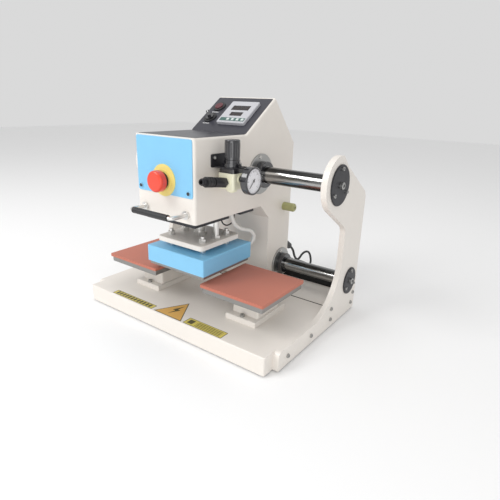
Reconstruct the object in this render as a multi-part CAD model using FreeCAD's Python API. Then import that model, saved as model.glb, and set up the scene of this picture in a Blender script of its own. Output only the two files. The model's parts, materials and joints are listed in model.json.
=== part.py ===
import FreeCAD
import Part
import math
import os

# Pneumatic double-station heat press: a heated head slides sideways on two
# round rods between two side plates and presses down on either of two lower
# platens. Millimetres, +Z up, X right, Y to the rear. While it is modelled,
# Y is counted from the front of the base. The files are written with the
# origin under the middle of the machine.

os.makedirs("parts", exist_ok=True)

V = FreeCAD.Vector

# ---------------------------------------------------------------- dimensions
GAP = 0.3                    # clearance between loosely fitted pieces
RUN_FIT = 0.05               # radial clearance of shafts that slide or turn

# base
BASE_HALF_W = 248.0
BASE_TOP = 40.0
BASE_FRONT_LEN = 254.0
TRAY_FRONT = 255.0
TRAY_REAR = 362.0
TRAY_TOP = 36.0
UPSTAND_TOP = 56.0
FOOT_H = 3.0
FOOT_R = 14.0
SHEET = 2.0                  # sheet metal of the base and the head

# side plates
PLATE_T = 12.0
PLATE_FRONT = 28.5
PLATE_REAR = 364.0
PLATE_OUT = BASE_HALF_W + PLATE_T
NECK_FRONT = 270.0
RAMP_R = 110.0

# the two guide rods of the head
ROD1 = (219.0, 316.0)        # Y, Z of the upper rod
ROD1_R = 17.5
ROD2 = (321.0, 85.0)         # Y, Z of the lower rod
ROD2_R = 15.0
CAP1_R = 40.0
CAP2_R = 31.0
CAP_T = 3.0

# head, modelled about X = 0 and parked slightly left of the middle
HEAD_X = -2.0
HEAD_HALF_W = 77.0
HEAD_FRONT = 15.5
HEAD_TOP = 400.0
SLOPE_Y = 168.0              # where the sloped control panel starts
SLOPE_DEG = 35.3
PEAK = (267.0, 470.0)
HEAD_REAR = 354.0
REAR_SLOPE_Z = 374.0
HEAD_BOTTOM = 244.0
COLUMN_FRONT = 260.0
COLUMN_BOTTOM = 46.0

# lower platens
STATION_X = 140.0
PRESS_Y = 112.0              # middle of the platens and of the heater
PLATEN_HALF = 73.0
PLATEN_Z = 99.0
PAD_HALF = 76.0
PAD_Z = 111.0
PAD_TOP = 117.0

# press unit
HEATER_Z = 128.5
HEATER_TOP = 141.0
COVER_HALF = 79.0
COVER_BOTTOM = 135.5
COVER_TOP = 170.5
MOUNT_Z = 181.0
MOUNT_TOP = 191.0
MOUNT_HALF = 62.0
MOUNT_Y = 109.0
GUIDE_X = 45.0
GUIDE_R = 6.0
PISTON_ROD_R = 10.0

# pressure regulator on the right side of the head
REG_X = 105.0
REG_Y = 86.0
PORT_Z = 321.5               # inlet and outlet
GAUGE_Z = 327.5

# end of the machine's outline, front to rear, without the mains cord
HANDLE_Y = -23.0
GRIP_R = 6.0
OUTLINE_MIDDLE = (PLATE_REAR + HANDLE_Y - GRIP_R) / 2


# ------------------------------------------------------------------- helpers
def block(x0, x1, y0, y1, z0, z1):
    return Part.makeBox(x1 - x0, y1 - y0, z1 - z0, V(x0, y0, z0))


def rod_x(x0, x1, y, z, r):
    return Part.makeCylinder(r, x1 - x0, V(x0, y, z), V(1, 0, 0))


def rod_y(x, y0, y1, z, r):
    return Part.makeCylinder(r, y1 - y0, V(x, y0, z), V(0, 1, 0))


def rod_z(x, y, z0, z1, r):
    return Part.makeCylinder(r, z1 - z0, V(x, y, z0), V(0, 0, 1))


def cut_all(shape, tools):
    for tool in tools:
        shape = shape.cut(tool)
    return shape


def fuse_all(shapes):
    result = shapes[0]
    for other in shapes[1:]:
        result = result.fuse(other)
    return result.removeSplitter()


def edges_along(shape, direction):
    """The straight edges that run along a direction."""
    found = []
    for edge in shape.Edges:
        if edge.Curve.TypeId != "Part::GeomLine":
            continue
        run = edge.Vertexes[1].Point - edge.Vertexes[0].Point
        if run.cross(direction).Length < 0.001 * run.Length:
            found.append(edge)
    return found


def rounded_block(x0, x1, y0, y1, z0, z1, r, direction):
    shape = block(x0, x1, y0, y1, z0, z1)
    return shape.makeFillet(r, edges_along(shape, direction))


def eased(shape, r, test):
    """Round the straight edges whose middle passes the test."""
    chosen = []
    for edge in shape.Edges:
        if edge.Curve.TypeId == "Part::GeomLine" and test(edge.CenterOfMass):
            chosen.append(edge)
    return shape.makeFillet(r, chosen)


def hex_z(x, y, z0, z1, across_flats):
    corner = across_flats / math.sqrt(3)
    points = []
    for k in range(7):
        angle = math.radians(60 * k)
        points.append(V(x + corner * math.cos(angle), y + corner * math.sin(angle), z0))
    return Part.Face(Part.makePolygon(points)).extrude(V(0, 0, z1 - z0))


def turned(shape, axis_point, axis, degrees):
    result = shape.copy()
    result.rotate(axis_point, axis, degrees)
    return result


def mirrored_x(shape):
    return shape.mirror(V(0, 0, 0), V(1, 0, 0))


def on_panel(shape):
    """Place a shape drawn on the XY plane onto the sloped control panel.

    Its Y runs up the slope from the slope's lower edge, and its Z stands out.
    """
    result = turned(shape, V(0, 0, 0), V(1, 0, 0), SLOPE_DEG)
    result.translate(V(0, SLOPE_Y, HEAD_TOP))
    return result


def socket_screw(x, y, z, r, h, axis):
    """A cap screw head with a hexagon socket, standing on a face."""
    head = Part.makeCylinder(r, h, V(0, 0, 0), V(0, 0, 1))
    socket = hex_z(0, 0, h * 0.45, h + 1, r * 0.95)
    head = head.cut(socket)
    head = head.makeChamfer(0.12 * r, [max(head.Edges, key=lambda e: e.Length)])
    turn = FreeCAD.Rotation(V(0, 0, 1), axis)
    head.Placement = FreeCAD.Placement(V(x, y, z), turn)
    return head


def tube_path(points):
    """Straight runs joined by tangent arcs, as large as the runs allow."""
    edges = []
    radii = []
    start = points[0]
    for k in range(1, len(points) - 1):
        before = points[k] - points[k - 1]
        after = points[k + 1] - points[k]
        turn = before.getAngle(after)
        reach = 0.45 * min(before.Length, after.Length)
        radii.append(reach / math.tan(turn / 2))
        d0 = V(before).normalize()
        d1 = V(after).normalize()
        a = points[k] - d0 * reach
        b = points[k] + d1 * reach
        bisector = (d1 - d0).normalize()
        depth = radii[-1] / math.cos(turn / 2) - radii[-1]
        middle = points[k] + bisector * depth
        edges.append(Part.LineSegment(start, a).toShape())
        edges.append(Part.Arc(a, middle, b).toShape())
        start = b
    edges.append(Part.LineSegment(start, points[-1]).toShape())
    return Part.Wire(edges), radii


def tube(points, r, name):
    path, radii = tube_path(points)
    direction = points[1] - points[0]
    ring = Part.Wire(Part.makeCircle(r, points[0], direction))
    shell = path.makePipeShell([ring], True, False)
    ratio = shell.Volume / (math.pi * r * r * path.Length)
    print(name, "length", round(path.Length, 1), "volume ratio", round(ratio, 4))
    print(name, "radii", [round(radius, 1) for radius in radii])
    return shell


# ----------------------------------------------------------------------- base
def base_shell():
    outer = block(-BASE_HALF_W, BASE_HALF_W, 0, BASE_FRONT_LEN, FOOT_H, BASE_TOP)
    outer = eased(outer, 3.0, lambda c: c.y < 1 and (c.z > BASE_TOP - 1 or abs(c.x) > 200))
    inner = block(-BASE_HALF_W + SHEET, BASE_HALF_W - SHEET, SHEET, BASE_FRONT_LEN + 1,
                  FOOT_H - 1, BASE_TOP - SHEET)
    return outer.cut(inner)


def rear_tray():
    outer = block(-BASE_HALF_W, BASE_HALF_W, TRAY_FRONT, TRAY_REAR, FOOT_H, TRAY_TOP)
    inner = block(-BASE_HALF_W + SHEET, BASE_HALF_W - SHEET, TRAY_FRONT - 1, TRAY_REAR - SHEET,
                  FOOT_H - 1, TRAY_TOP - SHEET)
    upstand = block(-BASE_HALF_W, BASE_HALF_W, TRAY_REAR - SHEET, TRAY_REAR, TRAY_TOP - 3, UPSTAND_TOP)
    return fuse_all([outer.cut(inner), upstand])


def bottom_plate():
    inset = SHEET + GAP
    return block(-BASE_HALF_W + inset, BASE_HALF_W - inset, inset, TRAY_REAR - inset,
                 FOOT_H, FOOT_H + SHEET)


def rubber_feet():
    feet = []
    for x in (-220, 220):
        for y in (28, 335):
            foot = Part.makeCone(FOOT_R - 1.0, FOOT_R, FOOT_H, V(x, y, 0))
            feet.append(foot)
    return Part.makeCompound(feet)


def plate_outline():
    """Side view of a side plate in Y and Z, front bottom corner first."""
    cy, cz = ROD1
    ramp_y = NECK_FRONT - RAMP_R
    ramp_z = BASE_TOP + RAMP_R
    lean = math.radians(31.5)
    nose_r = 56.0
    over = 46.0                       # upper slope's distance from the rod
    along = V(0, math.cos(lean), -math.sin(lean))
    up = V(0, math.sin(lean), math.cos(lean))
    centre = V(0, cy, cz)
    # under the nose the outline leaves the arc along the same lean
    arc_end = centre - up * nose_r
    neck_z = arc_end.z - (NECK_FRONT - arc_end.y) * math.tan(lean)
    # above the rod it meets the upper slope
    side = math.sqrt(nose_r ** 2 - over ** 2)
    arc_start = centre + up * over - along * side * 0.55
    reach = (arc_start - centre).Length
    top_mid = centre + (arc_start - centre) * (nose_r / reach)
    slope_end = centre + up * over + along * ((PLATE_REAR - 6 - cy) / math.cos(lean) - over * math.tan(lean))
    diag = math.sqrt(0.5)
    p1 = V(0, PLATE_FRONT + 10, BASE_TOP)
    p2 = V(0, PLATE_FRONT, BASE_TOP - 10)
    ramp_mid = V(0, ramp_y + RAMP_R * diag, ramp_z - RAMP_R * diag)
    corner_mid = V(0, PLATE_FRONT + 10 - 10 * diag, BASE_TOP - 10 + 10 * diag)
    nose = centre - along * nose_r
    edges = [
        Part.LineSegment(V(0, PLATE_FRONT, FOOT_H), p2).toShape(),
        Part.Arc(p2, corner_mid, p1).toShape(),
        Part.LineSegment(p1, V(0, ramp_y, BASE_TOP)).toShape(),
        Part.Arc(V(0, ramp_y, BASE_TOP), ramp_mid, V(0, NECK_FRONT, ramp_z)).toShape(),
        Part.LineSegment(V(0, NECK_FRONT, ramp_z), V(0, NECK_FRONT, neck_z)).toShape(),
        Part.LineSegment(V(0, NECK_FRONT, neck_z), arc_end).toShape(),
        Part.Arc(arc_end, nose, top_mid).toShape(),
        Part.LineSegment(top_mid, centre + up * over + along * 12).toShape(),
        Part.LineSegment(centre + up * over + along * 12, slope_end).toShape(),
        Part.LineSegment(slope_end, V(0, PLATE_REAR, slope_end.z - 12)).toShape(),
        Part.LineSegment(V(0, PLATE_REAR, slope_end.z - 12), V(0, PLATE_REAR, FOOT_H)).toShape(),
        Part.LineSegment(V(0, PLATE_REAR, FOOT_H), V(0, PLATE_FRONT, FOOT_H)).toShape(),
    ]
    return Part.Wire(edges)


def side_plate_right():
    face = Part.Face(plate_outline())
    plate = face.extrude(V(PLATE_T, 0, 0))
    plate.translate(V(BASE_HALF_W, 0, 0))
    neck = plate.makeFillet(20.0, [edge for edge in edges_along(plate, V(1, 0, 0))
                                   if abs(edge.CenterOfMass.y - NECK_FRONT) < 1
                                   and edge.CenterOfMass.z > 180])
    corners = [edge for edge in edges_along(neck, V(1, 0, 0))
               if edge.CenterOfMass.z > 250 and edge.CenterOfMass.y > 215]
    plate = neck.makeFillet(8.0, corners)
    for (y, z), r in ((ROD1, ROD1_R), (ROD2, ROD2_R)):
        plate = plate.cut(rod_x(BASE_HALF_W - 1, PLATE_OUT + 1, y, z, r + GAP / 2))
    return plate


def guide_rod(centre, r):
    length = 2 * (PLATE_OUT - 0.5)
    rod = rod_x(-length / 2, length / 2, centre[0], centre[1], r)
    rims = [edge for edge in rod.Edges if edge.Curve.TypeId == "Part::GeomCircle"]
    return rod.makeChamfer(1.2, rims)


def end_cap(centre, r):
    cap = rod_x(PLATE_OUT, PLATE_OUT + CAP_T, centre[0], centre[1], r)
    rims = [edge for edge in cap.Edges
            if edge.Curve.TypeId == "Part::GeomCircle" and edge.CenterOfMass.x > PLATE_OUT + 1]
    return cap.makeChamfer(1.0, rims)


def rod_end_caps():
    right = [end_cap(ROD1, CAP1_R), end_cap(ROD2, CAP2_R)]
    return Part.makeCompound(right + [mirrored_x(cap) for cap in right])


def ring_places(centre, pitch_r, first_deg=90):
    """Three screw places round an X axis, the first one near the top."""
    places = []
    for k in range(3):
        angle = math.radians(first_deg + 120 * k)
        places.append((centre[0] + pitch_r * math.cos(angle), centre[1] + pitch_r * math.sin(angle)))
    return places


def frame_screws():
    """Screws of the end caps, the side plates and the platen supports."""
    outer = PLATE_OUT + CAP_T
    screws = []
    for centre, pitch, r in ((ROD1, 32.0, 3.8), (ROD2, 24.0, 3.4)):
        for y, z in ring_places(centre, pitch):
            screws.append(socket_screw(outer, y, z, r, 3.6, V(1, 0, 0)))
        screws.append(socket_screw(outer, centre[0], centre[1], 7.0, 6.0, V(1, 0, 0)))
    for y, z in ((60, 21), (150, 21), (237, 21), (345, 21), (237, 46), (352, 45)):
        screws.append(socket_screw(PLATE_OUT, y, z, 4.2, 3.2, V(1, 0, 0)))
    screws = screws + [mirrored_x(screw) for screw in screws]
    for side in (-1, 1):
        for y in (83, 179):
            screws.append(socket_screw(side * SUPPORT_X, y, SUPPORT_LIP_TOP, 5.0, 5.0, V(0, 0, 1)))
    return Part.makeCompound(screws)


# -------------------------------------------------------------- lower platens
SUPPORT_X = 137.0
SUPPORT_HALF_W = 37.0
SUPPORT_LIP_TOP = 51.0


def platen_supports():
    """Stepped blocks bolted to the base, one under each platen."""
    supports = []
    for side in (-1, 1):
        x = side * SUPPORT_X
        foot = block(x - SUPPORT_HALF_W, x + SUPPORT_HALF_W, 75, 187, BASE_TOP, SUPPORT_LIP_TOP)
        foot = eased(foot, 2.5, lambda c: abs(c.z - SUPPORT_LIP_TOP) < 0.1)
        riser = rounded_block(x - SUPPORT_HALF_W + 5, x + SUPPORT_HALF_W - 5, 92, 170,
                              SUPPORT_LIP_TOP - 1, PLATEN_Z, 4.0, V(0, 0, 1))
        supports.append(foot.fuse(riser).removeSplitter())
    return Part.makeCompound(supports)


def platen(side):
    x = side * STATION_X
    plate = rounded_block(x - PLATEN_HALF, x + PLATEN_HALF, PRESS_Y - PLATEN_HALF,
                          PRESS_Y + PLATEN_HALF, PLATEN_Z, PAD_Z, 3.0, V(0, 0, 1))
    return eased(plate, 1.0, lambda c: abs(c.z - PLATEN_Z) < 0.1)


def pad(side):
    x = side * STATION_X
    return rounded_block(x - PAD_HALF, x + PAD_HALF, PRESS_Y - PAD_HALF, PRESS_Y + PAD_HALF,
                         PAD_Z, PAD_TOP, 3.0, V(0, 0, 1))


# ----------------------------------------------------------------------- head
def head_outline():
    """Side view of the head and its rear column, in Y and Z."""
    points = [
        (HEAD_FRONT, HEAD_BOTTOM),
        (HEAD_FRONT, HEAD_TOP),
        (SLOPE_Y, HEAD_TOP),
        PEAK,
        (HEAD_REAR, REAR_SLOPE_Z),
        (HEAD_REAR, COLUMN_BOTTOM),
        (COLUMN_FRONT, COLUMN_BOTTOM),
        (COLUMN_FRONT, HEAD_BOTTOM - 33),
        (COLUMN_FRONT - 34, HEAD_BOTTOM),
    ]
    corners = [V(0, y, z) for y, z in points]
    return Part.makePolygon(corners + [corners[0]])


def head_housing():
    outline = head_outline()
    outer = Part.Face(outline).extrude(V(2 * HEAD_HALF_W, 0, 0))
    outer.translate(V(-HEAD_HALF_W, 0, 0))
    outer = eased(outer, 5.0, lambda c: abs(c.x) > HEAD_HALF_W - 1
                  and c.z > 300 and c.y < PEAK[0])
    inner_face = Part.Face(outline).makeOffset2D(-SHEET)
    inner = inner_face.extrude(V(2 * (HEAD_HALF_W - SHEET), 0, 0))
    inner.translate(V(-HEAD_HALF_W + SHEET, 0, 0))
    inner = eased(inner, 3.0, lambda c: abs(c.x) > HEAD_HALF_W - SHEET - 1
                  and c.z > 300 and c.y < PEAK[0])
    rear_opening = block(-68, 68, HEAD_REAR - SHEET - 1, HEAD_REAR + 1, 54, 364)
    floor_opening = block(-58, 58, 34, 206, HEAD_BOTTOM - 1, HEAD_BOTTOM + SHEET + 1)
    lead_slot = block(LEAD_X - 9, LEAD_X + 9, LEAD_Y - 12, LEAD_Y + 26, HEAD_BOTTOM - 1, HEAD_BOTTOM + SHEET + 1)
    openings = [rear_opening, floor_opening, lead_slot]
    for side in (-1, 1):
        wall_x = side * HEAD_HALF_W
        openings.append(rod_x(wall_x - 5, wall_x + 5, ROD1[0], ROD1[1], BEARING1_R + 0.1))
        openings.append(rod_x(wall_x - 5, wall_x + 5, ROD2[0], ROD2[1], BEARING2_R + 0.1))
    openings.append(rod_y(0, HEAD_FRONT - 1, HEAD_FRONT + 5, ESTOP_Z, ESTOP_NECK_R + 0.2))
    openings.append(on_panel(block(CONTROLLER_X - 34, CONTROLLER_X + 34, CONTROLLER_S - 34,
                                   CONTROLLER_S + 34, -6, 3)))
    for s in (BUTTON_S, SELECTOR_S):
        openings.append(on_panel(rod_z(SWITCH_X, s, -6, 3, SWITCH_R + 0.2)))
    return cut_all(outer.cut(inner), openings)


def rear_cover():
    cover = rounded_block(-72, 72, HEAD_REAR, HEAD_REAR + 1.5, 48, 370, 4.0, V(0, 1, 0))
    slots = []
    for k in range(7):
        z = 300 + 8 * k
        slots.append(rounded_block(-40, 40, HEAD_REAR - 1, HEAD_REAR + 3, z, z + 3, 1.4, V(0, 1, 0)))
    slots.append(rod_y(CORD_X, HEAD_REAR - 1, HEAD_REAR + 3, CORD_Z, 6.1))
    return cut_all(cover, slots)


PANEL_HALF_W = 72.0
PANEL_BOTTOM = 293.0
PANEL_TOP = 397.5


def front_panel():
    cover = rounded_block(-PANEL_HALF_W, PANEL_HALF_W, HEAD_FRONT - 1.5, HEAD_FRONT,
                          PANEL_BOTTOM, PANEL_TOP, 4.0, V(0, 1, 0))
    return cover.cut(rod_y(0, HEAD_FRONT - 3, HEAD_FRONT + 1, ESTOP_Z, ESTOP_NECK_R + 0.2))


def head_screws():
    """Screws of the front panel, rear cover, valve bracket and bearings."""
    screws = []
    for x in (-63, 63):
        screws.append(socket_screw(x, HEAD_FRONT - 1.5, 302, 3.0, 2.2, V(0, -1, 0)))
        for z in (56, 150, 245, 362):
            screws.append(socket_screw(x, HEAD_REAR + 1.5, z, 3.0, 2.2, V(0, 1, 0)))
    for y in (REG_Y - 20, REG_Y + 20):
        screws.append(socket_screw(HEAD_HALF_W + BRACKET_T, y, 363.5, 3.2, 2.8, V(1, 0, 0)))
    for centre, pitch in ((ROD1, 37.0), (ROD2, 30.0)):
        for y, z in ring_places(centre, pitch, 102):
            screw = socket_screw(HEAD_HALF_W + FLANGE_T, y, z, 3.6, 3.0, V(1, 0, 0))
            screws.append(screw)
            screws.append(mirrored_x(screw))
    return Part.makeCompound(screws)


# ------------------------------------------------------------- emergency stop
ESTOP_Z = 319.0
ESTOP_NECK_R = 11.0
ESTOP_RING_Y = HEAD_FRONT - 1.5


def estop_ring():
    ring = rod_y(0, ESTOP_RING_Y - 1.2, ESTOP_RING_Y, ESTOP_Z, 30.0)
    lip = rod_y(0, ESTOP_RING_Y - 3.5, ESTOP_RING_Y - 1.2, ESTOP_Z, 19.0)
    hole = rod_y(0, ESTOP_RING_Y - 5, ESTOP_RING_Y + 1, ESTOP_Z, ESTOP_NECK_R + 0.2)
    return fuse_all([ring, lip]).cut(hole)


def estop_body():
    """Threaded neck, lock nut and contact block of the emergency stop."""
    collar = rod_y(0, ESTOP_RING_Y - 7.6, ESTOP_RING_Y - 3.5, ESTOP_Z, 15.5)
    neck = rod_y(0, ESTOP_RING_Y - 5, HEAD_FRONT + 16, ESTOP_Z, ESTOP_NECK_R)
    nut = rod_y(0, HEAD_FRONT + SHEET + 0.2, HEAD_FRONT + 7, ESTOP_Z, 15.0)
    contacts = block(-15, 15, HEAD_FRONT + 15, HEAD_FRONT + 48, ESTOP_Z - 21, ESTOP_Z + 21)
    bore = rod_y(0, ESTOP_RING_Y - 14, HEAD_FRONT + 12, ESTOP_Z, 7.0 + 0.1)
    return fuse_all([collar, neck, nut, contacts]).cut(bore)


def estop_mushroom():
    front = ESTOP_RING_Y - 26.0
    cap = rod_y(0, front, front + 14, ESTOP_Z, 20.0)
    rims = sorted((edge for edge in cap.Edges if edge.Curve.TypeId == "Part::GeomCircle"),
                  key=lambda e: e.CenterOfMass.y)
    cap = cap.makeFillet(5.0, rims[:1])
    stem = rod_y(0, front + 13, HEAD_FRONT + 5, ESTOP_Z, 7.0)
    return fuse_all([cap, stem])


# --------------------------------------------------------------- front handle
HANDLE_Z = 261.0
HANDLE_HALF = 55.0
HANDLE_BAR_R = 4.0
HANDLE_BEND = 8.0


def handle_bar():
    """A bent round bar with a flange on each end."""
    diag = HANDLE_BEND * (1 - math.sqrt(0.5))
    left = V(-HANDLE_HALF, HEAD_FRONT - 4, HANDLE_Z)
    right = V(HANDLE_HALF, HEAD_FRONT - 4, HANDLE_Z)
    a = V(-HANDLE_HALF, HANDLE_Y + HANDLE_BEND, HANDLE_Z)
    b = V(-HANDLE_HALF + HANDLE_BEND, HANDLE_Y, HANDLE_Z)
    c = V(HANDLE_HALF - HANDLE_BEND, HANDLE_Y, HANDLE_Z)
    d = V(HANDLE_HALF, HANDLE_Y + HANDLE_BEND, HANDLE_Z)
    path = Part.Wire([
        Part.LineSegment(left, a).toShape(),
        Part.Arc(a, V(-HANDLE_HALF + diag, HANDLE_Y + diag, HANDLE_Z), b).toShape(),
        Part.LineSegment(b, c).toShape(),
        Part.Arc(c, V(HANDLE_HALF - diag, HANDLE_Y + diag, HANDLE_Z), d).toShape(),
        Part.LineSegment(d, right).toShape(),
    ])
    ring = Part.Wire(Part.makeCircle(HANDLE_BAR_R, left, V(0, -1, 0)))
    bar = path.makePipeShell([ring], True, False)
    flanges = [rod_y(x, HEAD_FRONT - 4.5, HEAD_FRONT, HANDLE_Z, 8.0)
               for x in (-HANDLE_HALF, HANDLE_HALF)]
    return fuse_all([bar] + flanges)


def handle_grip():
    half = HANDLE_HALF - HANDLE_BEND - 1
    grip = rod_x(-half, half, HANDLE_Y, HANDLE_Z, GRIP_R)
    return grip.cut(rod_x(-half - 1, half + 1, HANDLE_Y, HANDLE_Z, HANDLE_BAR_R + 0.02))


# -------------------------------------------------------------- control panel
CONTROLLER_X = 18.0
CONTROLLER_S = 61.0          # distance of its middle up the slope
CONTROLLER_HALF = 36.0
BEZEL_H = 7.0
KEY_X = (8.0, 20.5, 33.0, 45.5)
KEY_S = CONTROLLER_S - 26.0
KEY_R = 3.4
SWITCH_X = -50.0
SWITCH_R = 11.0
BUTTON_S = 83.0
SELECTOR_S = 44.0


def controller_case():
    bezel = rounded_block(CONTROLLER_X - CONTROLLER_HALF, CONTROLLER_X + CONTROLLER_HALF,
                          CONTROLLER_S - CONTROLLER_HALF, CONTROLLER_S + CONTROLLER_HALF,
                          0, BEZEL_H, 3.0, V(0, 0, 1))
    bezel = bezel.makeChamfer(1.0, [edge for edge in bezel.Edges
                                    if edge.CenterOfMass.z > BEZEL_H - 0.1])
    body = block(CONTROLLER_X - 33, CONTROLLER_X + 33, CONTROLLER_S - 33, CONTROLLER_S + 33, -45, 1)
    case = fuse_all([bezel, body])
    recesses = []
    for s0, s1, width in ((66, 82, 46), (47, 60, 32)):
        recesses.append(block(CONTROLLER_X - width / 2, CONTROLLER_X + width / 2, s0, s1, BEZEL_H - 1.5, 9))
    for x in KEY_X:
        recesses.append(rod_z(x, KEY_S, BEZEL_H - 3, BEZEL_H + 1, KEY_R + 0.3))
    return on_panel(cut_all(case, recesses))


def controller_key(x):
    key = rod_z(x, KEY_S, BEZEL_H - 1.8, BEZEL_H + 1.2, KEY_R)
    rims = [edge for edge in key.Edges if edge.CenterOfMass.z > BEZEL_H + 1]
    return on_panel(key.makeFillet(0.6, rims))


def switch_bodies():
    """The two panel switches' bezel rings, barrels and contact blocks."""
    bodies = []
    for s in (BUTTON_S, SELECTOR_S):
        ring = rod_z(SWITCH_X, s, 0, 3.5, 14.5)
        ring = ring.makeChamfer(0.8, [edge for edge in ring.Edges if edge.CenterOfMass.z > 3.4])
        barrel = rod_z(SWITCH_X, s, -20, 1, SWITCH_R)
        nut = rod_z(SWITCH_X, s, -7, -SHEET - 0.2, 14.0)
        contacts = block(SWITCH_X - 10, SWITCH_X + 10, s - 12, s + 12, -44, -19)
        well = rod_z(SWITCH_X, s, -14, 5, SWITCH_R - 1.0)
        bodies.append(on_panel(fuse_all([ring, barrel, nut, contacts]).cut(well)))
    return Part.makeCompound(bodies)


def start_button():
    cap = rod_z(SWITCH_X, BUTTON_S, -8, 5.5, SWITCH_R - 1.3)
    rims = [edge for edge in cap.Edges if edge.CenterOfMass.z > 5.4]
    return on_panel(cap.makeFillet(1.2, rims))


def selector_knob():
    base = rod_z(SWITCH_X, SELECTOR_S, -8, 5.5, SWITCH_R - 1.3)
    grip = rounded_block(SWITCH_X - 3.6, SWITCH_X + 3.6, SELECTOR_S - 11.5, SELECTOR_S + 11.5,
                         5.0, 14.0, 1.6, V(0, 0, 1))
    grip = turned(grip, V(SWITCH_X, SELECTOR_S, 0), V(0, 0, 1), 45)
    return on_panel(fuse_all([base, grip]))


# --------------------------------------------------------- pressure regulator
BRACKET_T = 2.3
BRACKET_Z = 346.0
BONNET_R = 15.0
KNOB_R = 14.3
KNOB_Z = 361.5
KNOB_TOP = 396.5
GAUGE_X = 142.0
GAUGE_FACE = 157.0
GAUGE_R = 25.5
DIAL_R = 22.6


def regulator_bracket():
    wall = rounded_block(HEAD_HALF_W, HEAD_HALF_W + BRACKET_T, REG_Y - 28, REG_Y + 28,
                         BRACKET_Z, 370, 3.0, V(1, 0, 0))
    shelf = block(HEAD_HALF_W, REG_X + 20, REG_Y - 20, REG_Y + 20, BRACKET_Z, BRACKET_Z + BRACKET_T)
    shelf = shelf.cut(rod_z(REG_X, REG_Y, BRACKET_Z - 1, BRACKET_Z + 5, BONNET_R + GAP))
    return fuse_all([wall, shelf])


def regulator_body():
    """Die-cast body with front and rear ports, gauge port and bottom cap."""
    body = rounded_block(REG_X - 19, REG_X + 19, REG_Y - 19, REG_Y + 19, 309, 338, 5.0, V(0, 0, 1))
    ports = rod_y(REG_X, REG_Y - 21, REG_Y + 21, PORT_Z, 10.0)
    gauge_port = rod_x(REG_X, REG_X + 21, REG_Y, GAUGE_Z, 8.0)
    cap = rod_z(REG_X, REG_Y, 303, 310, 10.0)
    plug = hex_z(REG_X, REG_Y, 300.5, 304, 10.0)
    return fuse_all([body, ports, gauge_port, cap, plug])


def regulator_bonnet():
    flange = rounded_block(REG_X - 18, REG_X + 18, REG_Y - 18, REG_Y + 18, 338, BRACKET_Z, 5.0,
                           V(0, 0, 1))
    neck = rod_z(REG_X, REG_Y, BRACKET_Z - 1, KNOB_Z - 0.5, BONNET_R)
    nut = rod_z(REG_X, REG_Y, BRACKET_Z + BRACKET_T, BRACKET_Z + 9, 17.5)
    spindle = rod_z(REG_X, REG_Y, KNOB_Z - 1, KNOB_Z + 20, 5.0)
    return fuse_all([flange, neck, nut, spindle])


def regulator_knob():
    knob = rod_z(REG_X, REG_Y, KNOB_Z, KNOB_TOP, KNOB_R)
    rims = [edge for edge in knob.Edges if edge.CenterOfMass.z > KNOB_TOP - 1]
    knob = knob.makeFillet(1.5, rims)
    grooves = [rod_z(REG_X, REG_Y, KNOB_Z - 1, KNOB_Z + 21, 5.0 + RUN_FIT)]
    for k in range(24):
        angle = math.radians(15 * k)
        grooves.append(rod_z(REG_X + (KNOB_R + 0.5) * math.cos(angle),
                             REG_Y + (KNOB_R + 0.5) * math.sin(angle), KNOB_Z + 4, KNOB_TOP - 5, 1.0))
    return cut_all(knob, grooves)


def gauge_case():
    stem = rod_x(REG_X + 21, GAUGE_X + 1, REG_Y, GAUGE_Z, 6.0)
    case = rod_x(GAUGE_X, GAUGE_FACE, REG_Y, GAUGE_Z, GAUGE_R)
    rims = [edge for edge in case.Edges if edge.Curve.TypeId == "Part::GeomCircle"]
    case = case.makeFillet(2.5, rims)
    recess = rod_x(GAUGE_FACE - 3.2, GAUGE_FACE + 1, REG_Y, GAUGE_Z, DIAL_R)
    pivot = rod_x(GAUGE_FACE - 4, GAUGE_FACE - 1.4, REG_Y, GAUGE_Z, 0.8)
    return fuse_all([fuse_all([stem, case]).cut(recess), pivot])


NEEDLE_REST_DEG = 135.0      # pointing to the low end of the dial


def gauge_needle():
    x0 = GAUGE_FACE - 2.5
    hub = rod_x(x0, x0 + 1.0, REG_Y, GAUGE_Z, 2.4)
    pointer = block(x0 + 0.1, x0 + 0.8, REG_Y - 0.7, REG_Y + 0.7, GAUGE_Z - 5, GAUGE_Z + 16)
    needle = fuse_all([hub, pointer]).cut(rod_x(x0 - 1, x0 + 3, REG_Y, GAUGE_Z, 0.8 + RUN_FIT))
    return turned(needle, V(x0, REG_Y, GAUGE_Z), V(1, 0, 0), NEEDLE_REST_DEG)


COUPLER_TILT = 8.0           # the coupler's nose points slightly upward
COUPLER_LEN = 65.0
CORE_R = 5.6


def on_inlet(shape):
    """Place a shape drawn along Z onto the regulator's inlet, nose outward."""
    result = turned(shape, V(0, 0, 0), V(1, 0, 0), 90 - COUPLER_TILT)
    result.translate(V(REG_X, REG_Y - 21, PORT_Z))
    return result


def coupler_body():
    """Quick coupler on the regulator's inlet: hexagon, barrel and steel nose."""
    tail = rod_z(0, 0, -2.5, 2, 6.0)
    hexagon = hex_z(0, 0, 1.5, 12, 17.0)
    barrel = rod_z(0, 0, 11, 33, 9.0)
    core = rod_z(0, 0, 32, COUPLER_LEN, CORE_R)
    shoulder = rod_z(0, 0, COUPLER_LEN - 5, COUPLER_LEN - 3, CORE_R + 0.9)
    bore = rod_z(0, 0, 41, COUPLER_LEN + 1, 3.8)
    body = on_inlet(fuse_all([tail, hexagon, barrel, core, shoulder]).cut(bore))
    return body.cut(regulator_body())


def coupler_sleeve():
    sleeve = rod_z(0, 0, 36.5, 53, 9.3)
    tools = [rod_z(0, 0, 36, 54, CORE_R + RUN_FIT)]
    for z in (40, 48):
        tools.append(rod_z(0, 0, z, z + 1.5, 11).cut(rod_z(0, 0, z - 1, z + 3, 8.6)))
    return on_inlet(cut_all(sleeve, tools))


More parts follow.
